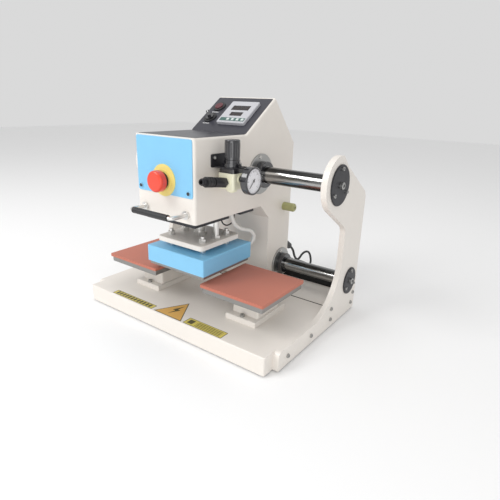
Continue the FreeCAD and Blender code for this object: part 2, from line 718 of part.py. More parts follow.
# ------------------------------------------------------------ linear bearings
FLANGE_T = 4.0
BEARING1_R = 26.0
BEARING2_R = 22.5


def bearing(centre, bore_r, body_r, flange_r, length):
    """Flanged linear ball bearing, flange outside the head's right wall."""
    y, z = centre
    body = rod_x(HEAD_HALF_W - length + 10, HEAD_HALF_W + 1, y, z, body_r)
    flange = rod_x(HEAD_HALF_W, HEAD_HALF_W + FLANGE_T, y, z, flange_r)
    rims = [edge for edge in flange.Edges
            if edge.Curve.TypeId == "Part::GeomCircle" and edge.CenterOfMass.x > HEAD_HALF_W + 1]
    flange = flange.makeChamfer(1.0, rims)
    collar = rod_x(HEAD_HALF_W + 1, HEAD_HALF_W + 18, y, z, body_r + 1.5)
    bore = rod_x(0, HEAD_HALF_W + 40, y, z, bore_r + RUN_FIT)
    return fuse_all([body, flange, collar]).cut(bore)


def upper_bearings():
    right = bearing(ROD1, ROD1_R, BEARING1_R, 43.0, 70.0)
    return Part.makeCompound([right, mirrored_x(right)])


def lower_bearings():
    right = bearing(ROD2, ROD2_R, BEARING2_R, 36.5, 64.0)
    return Part.makeCompound([right, mirrored_x(right)])


BUMPER_Y = 326.0
BUMPER_Z = 227.0
BUMPER_LEN = 31.0


def bumpers():
    """Polyurethane end stops that meet the side plates."""
    end = HEAD_HALF_W + BUMPER_LEN
    post = rod_x(HEAD_HALF_W, end, BUMPER_Y, BUMPER_Z, 10.0)
    rims = [edge for edge in post.Edges
            if edge.Curve.TypeId == "Part::GeomCircle" and edge.CenterOfMass.x > end - 1]
    post = post.makeFillet(5.0, rims)
    dimple = rod_x(end - 14, end + 1, BUMPER_Y, BUMPER_Z, 3.2)
    right = post.cut(dimple)
    return Part.makeCompound([right, mirrored_x(right)])


# ---------------------------------------------------- air cylinder and guides
CYL_PLATE_Z = 234.0
CYL_HALF = 29.0
CYL_Z0 = HEAD_BOTTOM + 12
CYL_Z1 = 322.0
PISTON_R = 23.9
LEAD_R = 4.3
LEAD_X = 60.0
LEAD_Y = 140.0


def cylinder_plate():
    plate = block(-66, 66, 26, 214, CYL_PLATE_Z, HEAD_BOTTOM)
    tools = [rod_z(0, PRESS_Y, CYL_PLATE_Z - 1, HEAD_BOTTOM + 1, PISTON_ROD_R + 0.4)]
    for side in (-1, 1):
        tools.append(rod_z(side * GUIDE_X, PRESS_Y, CYL_PLATE_Z - 1, HEAD_BOTTOM + 1, 10.0))
    tools.append(rounded_block(LEAD_X - 9, 70, LEAD_Y - 12, LEAD_Y + 26, CYL_PLATE_Z - 1,
                               HEAD_BOTTOM + 1, 4.0, V(0, 0, 1)))
    return cut_all(plate, tools)


def cylinder_tube():
    tube_body = rounded_block(-CYL_HALF, CYL_HALF, PRESS_Y - CYL_HALF, PRESS_Y + CYL_HALF,
                              CYL_Z0, CYL_Z1, 6.0, V(0, 0, 1))
    return tube_body.cut(rod_z(0, PRESS_Y, CYL_Z0 - 1, CYL_Z1 + 1, 24.0))


def cylinder_caps():
    """End caps above and below the cylinder tube."""
    lower = rounded_block(-CYL_HALF, CYL_HALF, PRESS_Y - CYL_HALF, PRESS_Y + CYL_HALF,
                          HEAD_BOTTOM, CYL_Z0, 6.0, V(0, 0, 1))
    lower = lower.cut(rod_z(0, PRESS_Y, HEAD_BOTTOM - 1, CYL_Z0 + 1, PISTON_ROD_R + RUN_FIT))
    upper = rounded_block(-CYL_HALF, CYL_HALF, PRESS_Y - CYL_HALF, PRESS_Y + CYL_HALF,
                          CYL_Z1, CYL_Z1 + 12, 6.0, V(0, 0, 1))
    return Part.makeCompound([lower, upper])


def guide_bushings():
    bushings = []
    for side in (-1, 1):
        x = side * GUIDE_X
        body = rod_z(x, PRESS_Y, CYL_PLATE_Z, HEAD_BOTTOM + 22, 9.9)
        flange = rod_z(x, PRESS_Y, HEAD_BOTTOM, HEAD_BOTTOM + 5, 12.5)
        bore = rod_z(x, PRESS_Y, CYL_PLATE_Z - 1, HEAD_BOTTOM + 30, GUIDE_R + RUN_FIT)
        bushings.append(fuse_all([body, flange]).cut(bore))
    return Part.makeCompound(bushings)


def solenoid_valve():
    body = block(-60, -34, 262, 318, 352, 376)
    coil = rounded_block(-58, -36, 280, 306, 376, 398, 3.0, V(0, 0, 1))
    foot = block(-HEAD_HALF_W + SHEET, -59, 270, 310, 350, 353)
    return fuse_all([body, coil, foot])


# ----------------------------------------------------------------- press unit
def piston():
    disc = rod_z(0, PRESS_Y, CYL_Z1 - 14, CYL_Z1 - 2, PISTON_R)
    rod = rod_z(0, PRESS_Y, MOUNT_Z, CYL_Z1 - 13, PISTON_ROD_R)
    return fuse_all([disc, rod])


def guide_rods():
    rods = [rod_z(side * GUIDE_X, PRESS_Y, MOUNT_Z, 310, GUIDE_R) for side in (-1, 1)]
    return Part.makeCompound(rods)


BOLT_X = 44.0
BOLT_Y = (71.0, 147.0)


def bolt_places():
    return [(x, y) for x in (-BOLT_X, BOLT_X) for y in BOLT_Y]


def mounting_plate():
    plate = rounded_block(-MOUNT_HALF, MOUNT_HALF, MOUNT_Y - MOUNT_HALF, MOUNT_Y + MOUNT_HALF,
                          MOUNT_Z, MOUNT_TOP, 8.0, V(0, 0, 1))
    plate = plate.makeChamfer(1.0, [edge for edge in plate.Edges
                                    if edge.CenterOfMass.z > MOUNT_TOP - 0.1])
    tools = [rod_z(0, PRESS_Y, MOUNT_Z - 1, MOUNT_TOP + 1, PISTON_ROD_R + 0.02)]
    for side in (-1, 1):
        tools.append(rod_z(side * GUIDE_X, PRESS_Y, MOUNT_Z - 1, MOUNT_TOP + 1, GUIDE_R + 0.02))
    for x, y in bolt_places():
        tools.append(rod_z(x, y, MOUNT_Z - 1, MOUNT_TOP + 1, 4.2))
    return cut_all(plate, tools)


def plate_bolts():
    """Studs with nuts and spacers, and the lock nuts of piston rod and guides."""
    bolts = []
    for x, y in bolt_places():
        stud = rod_z(x, y, HEATER_TOP, MOUNT_TOP + 13, 4.0)
        nut = hex_z(x, y, MOUNT_TOP + 1.6, MOUNT_TOP + 8, 13.0)
        washer = rod_z(x, y, MOUNT_TOP, MOUNT_TOP + 1.6, 8.0)
        spacer = rod_z(x, y, COVER_TOP, MOUNT_Z, 6.5)
        bolts.append(fuse_all([stud, nut, washer, spacer]))
    nuts = [(0, PISTON_ROD_R, 26.0)]
    nuts = nuts + [(side * GUIDE_X, GUIDE_R, 17.0) for side in (-1, 1)]
    for x, bore_r, width in nuts:
        nut = hex_z(x, PRESS_Y, MOUNT_TOP, MOUNT_TOP + 7, width)
        bolts.append(nut.cut(rod_z(x, PRESS_Y, MOUNT_TOP - 1, MOUNT_TOP + 9, bore_r + 0.02)))
    return Part.makeCompound(bolts)


def heater_cover():
    outer = block(-COVER_HALF, COVER_HALF, PRESS_Y - COVER_HALF, PRESS_Y + COVER_HALF,
                  COVER_BOTTOM, COVER_TOP)
    outer = eased(outer, 2.5, lambda c: c.z > COVER_BOTTOM + 1)
    wall = COVER_HALF - 1.5
    inner = block(-wall, wall, PRESS_Y - wall, PRESS_Y + wall, COVER_BOTTOM - 1, COVER_TOP - 1.5)
    tools = [inner]
    for x, y in bolt_places():
        tools.append(rod_z(x, y, COVER_TOP - 5, COVER_TOP + 1, 4.2))
    return cut_all(outer, tools)


def insulation():
    wool = block(-75, 75, PRESS_Y - 75, PRESS_Y + 75, HEATER_TOP, COVER_TOP - 2.5)
    return cut_all(wool, [rod_z(x, y, HEATER_TOP - 1, COVER_TOP, 4.2) for x, y in bolt_places()])


def heater_platen():
    """Cast aluminium plate with its heating element cast in."""
    plate = rounded_block(-PAD_HALF, PAD_HALF, PRESS_Y - PAD_HALF, PRESS_Y + PAD_HALF,
                          HEATER_Z, HEATER_TOP, 3.0, V(0, 0, 1))
    return eased(plate, 0.8, lambda c: abs(c.z - HEATER_Z) < 0.1)


def heater_lead():
    """Sleeved lead from inside the head down to the heater's rear face."""
    points = [
        V(LEAD_X, LEAD_Y, 268),
        V(LEAD_X, LEAD_Y + 1, 240),
        V(LEAD_X + 1, LEAD_Y + 12, 214),
        V(LEAD_X + 4, LEAD_Y + 36, 199),
        V(LEAD_X + 9, LEAD_Y + 62, 192),
        V(LEAD_X + 12, LEAD_Y + 74, 176),
        V(LEAD_X + 8, LEAD_Y + 67, 160),
        V(LEAD_X + 4, LEAD_Y + 51, 156),
    ]
    lead = tube(points, LEAD_R, "heater_lead")
    return lead.cut(block(-COVER_HALF, COVER_HALF, 0, PRESS_Y + COVER_HALF, COVER_BOTTOM, COVER_TOP))


# ----------------------------------------------------------------- mains cord
CORD_R = 3.0
CORD_X = 60.0
CORD_Z = 122.0
COIL_X = -22.0
COIL_Y = 493.0
COIL_MEAN_R = 38.0


def cord_route():
    """Free stretch of the mains cord, from the gland to the coil."""
    floor = CORD_R + 0.6
    tangent_y = COIL_Y + COIL_MEAN_R + 4 * CORD_R - 0.3
    return [
        V(CORD_X + 2, HEAD_REAR + 35, CORD_Z - 16),
        V(CORD_X + 3, HEAD_REAR + 55, CORD_Z - 28),
        V(CORD_X + 2, HEAD_REAR + 68, CORD_Z - 58),
        V(CORD_X - 1, HEAD_REAR + 96, CORD_Z - 76),
        V(CORD_X, HEAD_REAR + 120, CORD_Z - 58),
        V(CORD_X + 4, HEAD_REAR + 150, CORD_Z - 62),
        V(CORD_X + 6, HEAD_REAR + 163, CORD_Z - 95),
        V(CORD_X - 6, HEAD_REAR + 179, floor + 2),
        V(CORD_X - 30, HEAD_REAR + 192, floor),
        V(CORD_X - 56, tangent_y + 8, floor),
        V(COIL_X + 3, tangent_y, floor),
    ]


def mains_cord():
    return tube(cord_route(), CORD_R, "mains_cord")


def cord_gland():
    """Tapered strain relief with its nut on the rear cover, drooping a little."""
    nut = rod_y(CORD_X, HEAD_REAR + 1.5, HEAD_REAR + 8.5, CORD_Z, 12.5)
    thread = rod_y(CORD_X, HEAD_REAR - 6, HEAD_REAR + 3, CORD_Z, 6.0)
    start = V(CORD_X, HEAD_REAR + 7.5, CORD_Z)
    end = cord_route()[0]
    along = end - start
    taper = Part.makeCone(11.0, 8.0, along.Length, start, along)
    return fuse_all([nut, thread, taper])


def cord_coil():
    """Outer shape of the six wound turns."""
    half = 3 * CORD_R
    outer = rod_z(COIL_X, COIL_Y, 0.6, 0.6 + 4 * CORD_R, COIL_MEAN_R + half)
    return outer.cut(rod_z(COIL_X, COIL_Y, -1, 20, COIL_MEAN_R - half))


def mains_plug():
    """Rewireable plug with two round pins, lying behind the coil."""
    body = rounded_block(-9.6, 9.6, -15, 15, 16, 52, 6.0, V(0, 0, 1))
    nose = Part.makeCone(4.5, 9.0, 17, V(0, 0, 0), V(0, 0, 1))
    stub = rod_z(0, 0, -14, 1, CORD_R - 0.6)
    pins = [rod_z(0, y, 51, 70, 2.4) for y in (-9.5, 9.5)]
    plug = fuse_all([body, nose, stub] + pins)
    plug = turned(plug, V(0, 0, 0), V(0, 1, 0), -90)
    plug.translate(V(COIL_X - 30, COIL_Y + COIL_MEAN_R + 2 * CORD_R, 0.6 + 3 * CORD_R))
    return plug


# --------------------------------------------------------------------- export
def write(name, shape, x=0.0):
    placed = shape.copy()
    placed.translate(V(x, -OUTLINE_MIDDLE, 0))
    placed.exportStep("parts/" + name + ".step")


write("base_shell", base_shell())
write("rear_tray", rear_tray())
write("bottom_plate", bottom_plate())
write("rubber_feet", rubber_feet())
RIGHT_PLATE = side_plate_right()
write("side_plate_right", RIGHT_PLATE)
write("side_plate_left", mirrored_x(RIGHT_PLATE))
write("upper_rod", guide_rod(ROD1, ROD1_R))
write("lower_rod", guide_rod(ROD2, ROD2_R))
write("rod_end_caps", rod_end_caps())
write("frame_screws", frame_screws())
write("platen_supports", platen_supports())
for side_name, side_sign in (("left", -1), ("right", 1)):
    write("platen_" + side_name, platen(side_sign))
    write("silicone_pad_" + side_name, pad(side_sign))

write("head_housing", head_housing(), HEAD_X)
write("rear_cover", rear_cover(), HEAD_X)
write("front_panel", front_panel(), HEAD_X)
write("head_screws", head_screws(), HEAD_X)
write("estop_ring", estop_ring(), HEAD_X)
write("estop_body", estop_body(), HEAD_X)
write("estop_mushroom", estop_mushroom(), HEAD_X)
write("handle_bar", handle_bar(), HEAD_X)
write("handle_grip", handle_grip(), HEAD_X)
write("controller_case", controller_case(), HEAD_X)
for key_number, key_x in enumerate(KEY_X, start=1):
    write("controller_key_" + str(key_number), controller_key(key_x), HEAD_X)
write("switch_bodies", switch_bodies(), HEAD_X)
write("start_button", start_button(), HEAD_X)
write("selector_knob", selector_knob(), HEAD_X)

write("regulator_bracket", regulator_bracket(), HEAD_X)
write("regulator_body", regulator_body(), HEAD_X)
write("regulator_bonnet", regulator_bonnet(), HEAD_X)
write("regulator_knob", regulator_knob(), HEAD_X)
write("gauge_case", gauge_case(), HEAD_X)
write("gauge_needle", gauge_needle(), HEAD_X)
write("coupler_body", coupler_body(), HEAD_X)
write("coupler_sleeve", coupler_sleeve(), HEAD_X)

write("upper_bearings", upper_bearings(), HEAD_X)
write("lower_bearings", lower_bearings(), HEAD_X)
write("bumpers", bumpers(), HEAD_X)
write("cylinder_plate", cylinder_plate(), HEAD_X)
write("cylinder_tube", cylinder_tube(), HEAD_X)
write("cylinder_caps", cylinder_caps(), HEAD_X)
write("guide_bushings", guide_bushings(), HEAD_X)
write("solenoid_valve", solenoid_valve(), HEAD_X)

write("piston", piston(), HEAD_X)
write("guide_rods", guide_rods(), HEAD_X)
write("mounting_plate", mounting_plate(), HEAD_X)
write("plate_bolts", plate_bolts(), HEAD_X)
write("heater_cover", heater_cover(), HEAD_X)
write("insulation", insulation(), HEAD_X)
write("heater_platen", heater_platen(), HEAD_X)
write("heater_lead", heater_lead(), HEAD_X)

write("cord_gland", cord_gland(), HEAD_X)
write("mains_cord", mains_cord(), HEAD_X)
write("cord_coil", cord_coil(), HEAD_X)
write("mains_plug", mains_plug(), HEAD_X)
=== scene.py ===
import json
import math

import bmesh
import bpy
from mathutils import Matrix, Vector


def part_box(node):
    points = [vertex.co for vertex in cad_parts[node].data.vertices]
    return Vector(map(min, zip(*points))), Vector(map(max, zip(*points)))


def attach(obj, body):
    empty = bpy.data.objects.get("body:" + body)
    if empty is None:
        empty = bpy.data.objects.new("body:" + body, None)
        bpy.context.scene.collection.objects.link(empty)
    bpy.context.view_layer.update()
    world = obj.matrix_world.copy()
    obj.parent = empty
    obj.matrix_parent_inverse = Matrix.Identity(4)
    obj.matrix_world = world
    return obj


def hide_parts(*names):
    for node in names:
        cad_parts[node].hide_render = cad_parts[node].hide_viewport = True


# Looks of a double-station heat press whose head slides on two rods.
# Metres, the CAD's own frame: +Z up, +X to the right, -Y to the operator.
# Sizes below are in millimetres where nothing else is said, and become metres where a
# shape is made. Y is counted from the base's front edge, and X on the head from its middle.

MM = 0.001
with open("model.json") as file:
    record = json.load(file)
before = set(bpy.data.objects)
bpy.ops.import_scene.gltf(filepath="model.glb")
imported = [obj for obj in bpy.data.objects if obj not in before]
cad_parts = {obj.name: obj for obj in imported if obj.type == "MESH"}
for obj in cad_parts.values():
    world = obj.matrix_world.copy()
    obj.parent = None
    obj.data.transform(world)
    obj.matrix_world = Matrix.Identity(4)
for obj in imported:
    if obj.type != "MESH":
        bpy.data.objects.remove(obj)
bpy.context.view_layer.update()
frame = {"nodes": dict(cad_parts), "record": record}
nodes = frame["nodes"]

# ---------------------------------------------------------------- dimensions
OUTLINE_MIDDLE = 167.5       # from the base's front edge to the frame's origin
BASE_TOP = 40.0
TRAY_TOP = 36.0
HEAD_X = -2.0                # middle of the head at rest
HEAD_HALF_W = 77.0
HEAD_FRONT = 15.5
HEAD_TOP = 400.0
HEAD_REAR = 354.0
SLOPE_Y = 168.0              # where the control panel's slope begins
SLOPE = math.radians(35.3)


def bench(x, y, z, head=False):
    """A place on the machine, or on the head, as a point of the frame."""
    return Vector((x + (HEAD_X if head else 0.0), y - OUTLINE_MIDDLE, z)) * MM


# -------------------------------------------------------------------- camera
CAMERA_PLACE = (588.1, -533.0, 463.7)
CAMERA_YAW = math.radians(35.35)
CAMERA_PITCH = math.radians(-19.45)
CAMERA_ROLL = math.radians(1.75)
CAMERA_LENS = 30.44
SENSOR_WIDTH = 36.0
FAR_CLIP = 50               # metres


def make_camera():
    """The photograph's place, direction and tilt."""
    level = Vector((math.cos(CAMERA_YAW), math.sin(CAMERA_YAW), 0))
    ahead = Vector((-math.sin(CAMERA_YAW), math.cos(CAMERA_YAW), 0))
    forward = ahead * math.cos(CAMERA_PITCH) + Vector((0, 0, math.sin(CAMERA_PITCH)))
    upright = level.cross(forward)
    right = level * math.cos(CAMERA_ROLL) + upright * math.sin(CAMERA_ROLL)
    up = upright * math.cos(CAMERA_ROLL) - level * math.sin(CAMERA_ROLL)
    camera = bpy.data.objects.new("camera", bpy.data.cameras.new("camera"))
    camera.data.lens = CAMERA_LENS
    camera.data.sensor_width = SENSOR_WIDTH
    camera.data.clip_end = FAR_CLIP
    turn = Matrix((right, up, -forward)).transposed().to_4x4()
    camera.matrix_world = Matrix.Translation(bench(*CAMERA_PLACE)) @ turn
    bpy.context.scene.collection.objects.link(camera)
    bpy.context.scene.camera = camera


make_camera()


# ----------------------------------------------------------------- materials
CLOUD_SCALE = 38.0           # soft patches of colour and gloss
RELIEF_DEPTH = 0.3


def surface(name, colour, rough, metal=0.0, mottle=0.06, grain=0.0, grain_size=600.0,
            coat=0.0, sheen=0.0, see_through=0.0, stretch=(1, 1, 1)):
    """A material whose colour, gloss and fine relief vary a little over the piece."""
    material = bpy.data.materials.new(name)
    material.use_nodes = True
    tree = material.node_tree
    shader = tree.nodes["Principled BSDF"]
    shader.inputs["Metallic"].default_value = metal
    shader.inputs["Coat Weight"].default_value = coat
    shader.inputs["Coat Roughness"].default_value = 0.12
    shader.inputs["Sheen Weight"].default_value = sheen
    shader.inputs["Transmission Weight"].default_value = see_through
    place = tree.nodes.new("ShaderNodeTexCoord")
    scale = tree.nodes.new("ShaderNodeMapping")
    scale.inputs["Scale"].default_value = stretch
    tree.links.new(place.outputs["Object"], scale.inputs["Vector"])
    cloud = tree.nodes.new("ShaderNodeTexNoise")
    cloud.inputs["Scale"].default_value = CLOUD_SCALE
    cloud.inputs["Detail"].default_value = 5.0
    tree.links.new(scale.outputs["Vector"], cloud.inputs["Vector"])
    tint = tree.nodes.new("ShaderNodeMix")
    tint.data_type = "RGBA"
    tint.inputs["A"].default_value = (*[c * (1 - mottle) for c in colour], 1)
    tint.inputs["B"].default_value = (*[min(1, c * (1 + mottle)) for c in colour], 1)
    tree.links.new(cloud.outputs["Fac"], tint.inputs["Factor"])
    tree.links.new(tint.outputs["Result"], shader.inputs["Base Color"])
    gloss = tree.nodes.new("ShaderNodeMapRange")
    gloss.inputs["To Min"].default_value = max(0.02, rough * 0.85)
    gloss.inputs["To Max"].default_value = min(1.0, rough * 1.2)
    tree.links.new(cloud.outputs["Fac"], gloss.inputs["Value"])
    tree.links.new(gloss.outputs["Result"], shader.inputs["Roughness"])
    if grain:
        fine = tree.nodes.new("ShaderNodeTexNoise")
        fine.inputs["Scale"].default_value = grain_size
        fine.inputs["Detail"].default_value = 3.0
        tree.links.new(scale.outputs["Vector"], fine.inputs["Vector"])
        bump = tree.nodes.new("ShaderNodeBump")
        bump.inputs["Strength"].default_value = grain
        bump.inputs["Distance"].default_value = RELIEF_DEPTH * MM
        tree.links.new(fine.outputs["Fac"], bump.inputs["Height"])
        tree.links.new(bump.outputs["Normal"], shader.inputs["Normal"])
    return material


# Painted reflection on the chromed rods: greys by how far the surface faces up, from its underside (0) to
# its crown (1).
PAINTED_REFLECTION_BANDS = ((0.0, 0.05), (0.20, 0.07), (0.27, 0.38), (0.42, 0.42), (0.52, 0.18), (0.63, 0.28),
                (0.68, 0.78), (0.73, 0.75), (0.79, 0.06), (0.95, 0.03), (1.0, 0.30))


def chrome_with_painted_reflection(name):
    """Hard chrome with a painted reflection, set by how far the surface faces up: dark crown, one bright
    band along the shoulder, dark flank.
    """
    material = surface(name, (0.5, 0.5, 0.5), 0.16, metal=0.9, mottle=0.02, stretch=(0.1, 1, 1))
    tree = material.node_tree
    facing = tree.nodes.new("ShaderNodeNewGeometry")
    split = tree.nodes.new("ShaderNodeSeparateXYZ")
    tree.links.new(facing.outputs["Normal"], split.inputs["Vector"])
    spread = tree.nodes.new("ShaderNodeMapRange")
    spread.inputs["From Min"].default_value = -1.0
    tree.links.new(split.outputs["Z"], spread.inputs["Value"])
    # Painted reflection: the rod's base colour is a ramp of greys over the surface's upward facing.
    painted_reflection_ramp = tree.nodes.new("ShaderNodeValToRGB")
    ramp = painted_reflection_ramp.color_ramp
    under, crown = PAINTED_REFLECTION_BANDS[0], PAINTED_REFLECTION_BANDS[-1]
    ramp.elements[0].position, ramp.elements[1].position = under[0], crown[0]
    ramp.elements[0].color = (*[under[1]] * 3, 1)
    ramp.elements[1].color = (*[crown[1]] * 3, 1)
    for place, grey in PAINTED_REFLECTION_BANDS[1:-1]:
        ramp.elements.new(place).color = (grey, grey, grey * 0.98, 1)
    tree.links.new(spread.outputs["Result"], painted_reflection_ramp.inputs["Fac"])
    tree.links.new(painted_reflection_ramp.outputs["Color"], tree.nodes["Principled BSDF"].inputs["Base Color"])
    return material


SLOT_LOOKS = {
    "cream_paint": surface("cream_paint", (0.80, 0.755, 0.70), 0.42, mottle=0.025, grain=0.12,
                           grain_size=900, coat=0.15),
    "blue_paint": surface("blue_paint", (0.215, 0.53, 0.79), 0.38, mottle=0.03, grain=0.08,
                          grain_size=900, coat=0.2),
    "dark_steel": surface("dark_steel", (0.045, 0.045, 0.05), 0.42, metal=0.6, grain=0.12, grain_size=500),
    # The rods carry a painted reflection in their base colour.
    "polished_rod": chrome_with_painted_reflection("polished_rod"),
    "bright_steel": surface("bright_steel", (0.72, 0.71, 0.69), 0.3, metal=1.0, mottle=0.08),
    "flange_steel": surface("flange_steel", (0.42, 0.42, 0.41), 0.3, metal=0.9, mottle=0.1, grain=0.1),
    "aluminium": surface("aluminium", (0.31, 0.305, 0.295), 0.42, metal=0.85, mottle=0.07, grain=0.2,
                         stretch=(1, 12, 1)),
    "silicone_pad": surface("silicone_pad", (0.50, 0.16, 0.105), 0.72, grain=0.35, grain_size=420,
                            sheen=0.15),
    "black_plastic": surface("black_plastic", (0.022, 0.022, 0.024), 0.45, grain=0.12, grain_size=700),
    "black_gloss": surface("black_gloss", (0.018, 0.018, 0.022), 0.14, mottle=0.1, coat=0.9),
    "red_plastic": surface("red_plastic", (0.78, 0.055, 0.022), 0.3, mottle=0.05, coat=0.35),
    "maroon_plastic": surface("maroon_plastic", (0.10, 0.004, 0.014), 0.3, mottle=0.08, coat=0.4),
    "yellow_plastic": surface("yellow_plastic", (0.83, 0.70, 0.22), 0.5, mottle=0.05, grain=0.08),
    "grey_plastic": surface("grey_plastic", (0.52, 0.52, 0.55), 0.4, mottle=0.04, grain=0.1),
    "key_plastic": surface("key_plastic", (0.62, 0.68, 0.66), 0.4, mottle=0.04),
    "ivory_plastic": surface("ivory_plastic", (0.82, 0.80, 0.62), 0.33, mottle=0.04, grain=0.06, coat=0.2),
    "bumper_rubber": surface("bumper_rubber", (0.46, 0.46, 0.20), 0.3, mottle=0.12, see_through=0.25,
                             coat=0.3),
    "foot_rubber": surface("foot_rubber", (0.02, 0.02, 0.02), 0.8, grain=0.2),
    "cord_rubber": surface("cord_rubber", (0.012, 0.012, 0.013), 0.5, grain=0.1),
    "bronze": surface("bronze", (0.45, 0.28, 0.1), 0.4, metal=0.9, mottle=0.1),
    "wool": surface("wool", (0.66, 0.60, 0.44), 0.95, mottle=0.2, grain=0.6, grain_size=300),
    "lead_sleeve": surface("lead_sleeve", (0.74, 0.74, 0.71), 0.75, mottle=0.08, grain=0.5,
                           grain_size=1400),
    "needle_black": surface("needle_black", (0.02, 0.02, 0.022), 0.5, mottle=0.1),
}
CHARCOAL = surface("charcoal_film", (0.038, 0.038, 0.05), 0.32, grain=0.06, grain_size=1200)
GLASS_DARK = surface("display_glass", (0.004, 0.004, 0.006), 0.12, mottle=0.05, coat=0.5)
SEGMENT_OFF = surface("unlit_segment", (0.035, 0.012, 0.012), 0.4, mottle=0.05)
TEAL = surface("key_strip", (0.06, 0.135, 0.12), 0.45, mottle=0.05)
DIAL_WHITE = surface("dial_white", (0.80, 0.79, 0.82), 0.5, mottle=0.02)
INK = surface("ink", (0.03, 0.03, 0.035), 0.5, mottle=0.05)
LABEL_YELLOW = surface("label_yellow", (0.66, 0.55, 0.13), 0.4, mottle=0.04)
LABEL_ORANGE = surface("label_orange", (0.72, 0.42, 0.12), 0.4, mottle=0.05)
LABEL_INK = surface("label_ink", (0.10, 0.09, 0.04), 0.5, mottle=0.05)
WHITE_INK = surface("white_ink", (0.75, 0.75, 0.75), 0.5, mottle=0.03)
CLEAR = surface("gauge_window", (0.95, 0.96, 0.97), 0.05, mottle=0.01)
CLEAR.node_tree.nodes["Principled BSDF"].inputs["Alpha"].default_value = 0.1
# Near-black: the real dark seam on the base sheet, and painted shade on the tray's upstand.
SEAM_AND_SHADE_BLACK = surface("dark_strip", (0.012, 0.012, 0.012), 0.9, mottle=0.1, grain=0.4)


# --------------------------------------------------------------- mains cord
CORD_R = 3.0
CORD_X = 60.0                # the gland's middle on the rear cover
CORD_Z = 122.0
COIL_X = -22.0
COIL_Y = 493.0
COIL_MEAN_R = 38.0
COIL_REST = 0.6              # the coil lies this far above the bench
COIL_TURNS = 3               # in each of its two layers
TURN_STEPS = 24
LAY_GAP = 0.3                # the cord comes in this much closer than side by side


def coil_point(step, radius, z):
    """A point of the coil, counted in steps around it from its rear side."""
    angle = math.radians(90 + 360 * step / TURN_STEPS)
    return (COIL_X + radius * math.cos(angle), COIL_Y + radius * math.sin(angle), z)


def cord_points():
    """The free stretch as the CAD has it, then the coil's two layers and its end."""
    thick = 2 * CORD_R
    low = COIL_REST + CORD_R
    high = low + thick
    outer = COIL_MEAN_R + thick
    inner = COIL_MEAN_R - thick
    last_step = COIL_TURNS * TURN_STEPS
    tangent_y = COIL_Y + outer + thick - LAY_GAP
    points = [
        (CORD_X + 2, HEAD_REAR + 35, CORD_Z - 16),
        (CORD_X + 3, HEAD_REAR + 55, CORD_Z - 28),
        (CORD_X + 2, HEAD_REAR + 68, CORD_Z - 58),
        (CORD_X - 1, HEAD_REAR + 96, CORD_Z - 76),
        (CORD_X, HEAD_REAR + 120, CORD_Z - 58),
        (CORD_X + 4, HEAD_REAR + 150, CORD_Z - 62),
        (CORD_X + 6, HEAD_REAR + 163, CORD_Z - 95),
        (CORD_X - 6, HEAD_REAR + 179, low + 2),
        (CORD_X - 30, HEAD_REAR + 192, low),
        (CORD_X - 56, tangent_y + 8, low),
        (COIL_X + 3, tangent_y, low),
    ]
    for step in range(1, last_step + 1):
        come_in = max(0.0, 1 - 3 * step / TURN_STEPS) * (thick - LAY_GAP)
        wound_in = (outer - inner) * step / last_step
        points.append(coil_point(step, outer + come_in - wound_in, low))
    for step in range(1, last_step + 1):
        rise = min(1.0, 2 * step / TURN_STEPS)
        wound_out = (outer - inner) * step / last_step
        points.append(coil_point(step, inner + wound_out, low + thick * rise))
    points += [(COIL_X - run, COIL_Y + outer, high) for run in (14, 30)]
    return [bench(*point, head=True) for point in points]


def round_curve(name, places, radius, sides, smooth):
    """A round cord or lead along an open NURBS spline."""
    curve = bpy.data.curves.new(name, "CURVE")
    curve.dimensions = "3D"
    curve.bevel_depth = radius * MM
    curve.bevel_resolution = sides
    curve.resolution_u = smooth
    curve.use_fill_caps = True
    spline = curve.splines.new("NURBS")
    spline.points.add(len(places) - 1)
    for point, place in zip(spline.points, places):
        point.co = (*place, 1)
    spline.order_u = 3
    spline.use_endpoint_u = True
    return curve


def mains_cord():
    points = cord_points()
    curve = round_curve("cord", points, CORD_R, sides=6, smooth=6)
    curve.materials.append(SLOT_LOOKS["cord_rubber"])
    cord = bpy.data.objects.new("mains_cord_flex", curve)
    bpy.context.scene.collection.objects.link(cord)
    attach(cord, "carriage")
    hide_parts("mains_cord", "cord_coil")


mains_cord()


# ------------------------------------------------------------ carried-over CAD
def paint_cad():
    """Each node takes its slot's look; the quick coupler is darker than its slot."""
    slot_of = {part["node"]: part["material_slot"] for part in frame["record"]["subparts"]}
    for name, node in nodes.items():
        node.data.materials.clear()
        node.data.materials.append(SLOT_LOOKS[slot_of[name]])
    nodes["coupler_body"].data.materials[0] = SLOT_LOOKS["dark_steel"]


paint_cad()


# ------------------------------------------------------------ shape helpers
def add(name, mesh, material, body):
    piece = bpy.data.objects.new(name, mesh)
    mesh.materials.append(material)
    bpy.context.scene.collection.objects.link(piece)
    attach(piece, body)


def add_shape(name, shape, material, body):
    mesh = bpy.data.meshes.new(name)
    shape.to_mesh(mesh)
    shape.free()
    add(name, mesh, material, body)


def add_from_curve(name, curve, to_world, material, body):
    pattern = bpy.data.objects.new(name + "_pattern", curve)
    mesh = bpy.data.meshes.new_from_object(pattern)
    bpy.data.objects.remove(pattern)
    mesh.transform(to_world)
    mesh.materials.clear()
    add(name, mesh, material, body)


def plate(name, outline, thick, to_world, material, body):
    """A flat sheet: its outline in X and Y, standing up along Z, then placed."""
    shape = bmesh.new()
    base = shape.faces.new([shape.verts.new((x * MM, y * MM, 0)) for x, y in outline])
    grown = bmesh.ops.extrude_face_region(shape, geom=[base])
    top = [item for item in grown["geom"] if isinstance(item, bmesh.types.BMVert)]
    bmesh.ops.translate(shape, verts=top, vec=(0, 0, thick * MM))
    bmesh.ops.recalc_face_normals(shape, faces=shape.faces)
    shape.transform(to_world)
    add_shape(name, shape, material, body)


